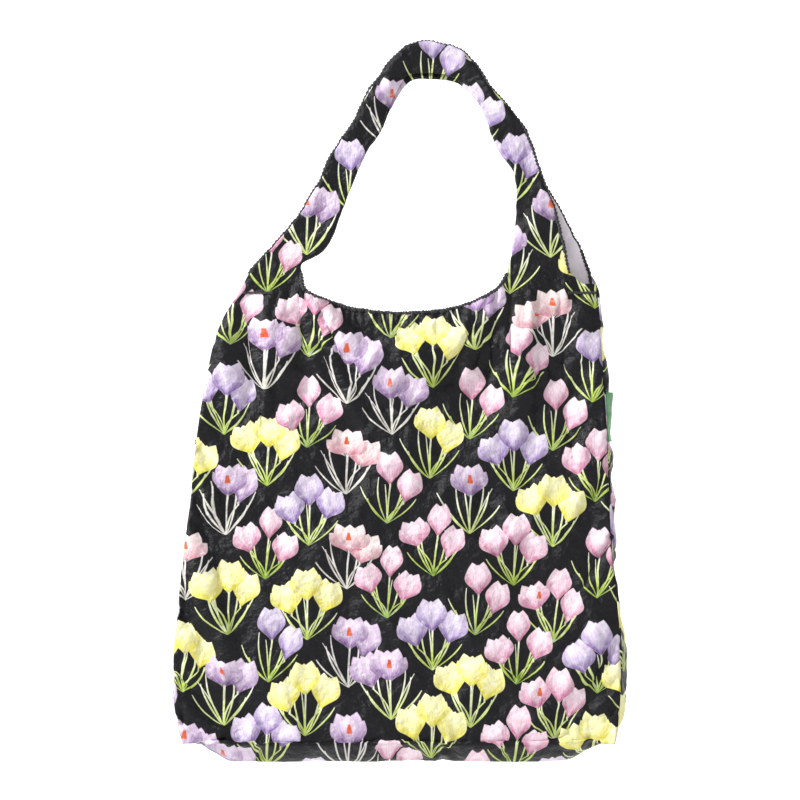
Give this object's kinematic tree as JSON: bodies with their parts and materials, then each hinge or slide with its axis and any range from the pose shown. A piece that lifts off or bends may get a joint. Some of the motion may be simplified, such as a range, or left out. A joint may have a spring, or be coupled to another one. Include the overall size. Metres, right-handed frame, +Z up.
{
  "type": "foldable tote bag",
  "caption": "Thin cloth shopping tote with gusseted sides, a curved neckline, twin shoulder handles and an inner storage pouch.",
  "frame": {"origin": "underside of the handle loop at its highest point, midway between the two handles, where a hook or a hand carries the bag", "axes": "+Z up, +X to the right as seen from the front, +Y from the front panel to the back panel"},
  "size_m": [0.4048, 0.08, 0.6442],
  "materials": {
    "printed_cloth": "thin slightly shiny woven polyester, flowers printed on black",
    "binding_cloth": "narrow gathered black binding, matt",
    "tack_thread": "dense black bar tack stitching",
    "tag_cloth": "blank green satin ribbon",
    "pouch_cloth": "unprinted pale grey-lilac reverse of the cloth",
    "stud_metal": "satin pressed steel"
  },
  "bodies": {
    "front_handle": {"front_handle": "printed_cloth", "front_handle_binding": "binding_cloth"},
    "bag": {"front_panel": "printed_cloth", "back_panel": "printed_cloth", "left_gusset": "printed_cloth", "right_gusset": "printed_cloth", "base_panel": "printed_cloth", "front_neck_binding": "binding_cloth", "back_neck_binding": "binding_cloth", "left_shoulder_tack": "tack_thread", "right_shoulder_tack": "tack_thread", "storage_pouch": "pouch_cloth", "pouch_binding": "binding_cloth", "press_stud_socket": "stud_metal", "press_stud_cap": "stud_metal"},
    "back_handle": {"back_handle": "printed_cloth", "back_handle_binding": "binding_cloth"},
    "tag": {"side_tag": "tag_cloth"}
  },
  "joints": [
    {"name": "front_handle_fold", "type": "hinge", "parent": "front_handle", "child": "bag", "pos_m": [0, 0, -0.185], "axis": [1, 0, 0], "range_deg": [-80, 80]},
    {"name": "back_handle_fold", "type": "hinge", "parent": "bag", "child": "back_handle", "pos_m": [0, 0, -0.185], "axis": [1, 0, 0], "range_deg": [-80, 80]},
    {"name": "tag_flap", "type": "hinge", "parent": "bag", "child": "tag", "pos_m": [0.1687, -0.01475, -0.308], "axis": [0, 0, 1], "range_deg": [-100, 0]}
  ],
  "couplings": [
    {"joint": "back_handle_fold", "follows": "front_handle_fold", "ratio": -1}
  ]
}
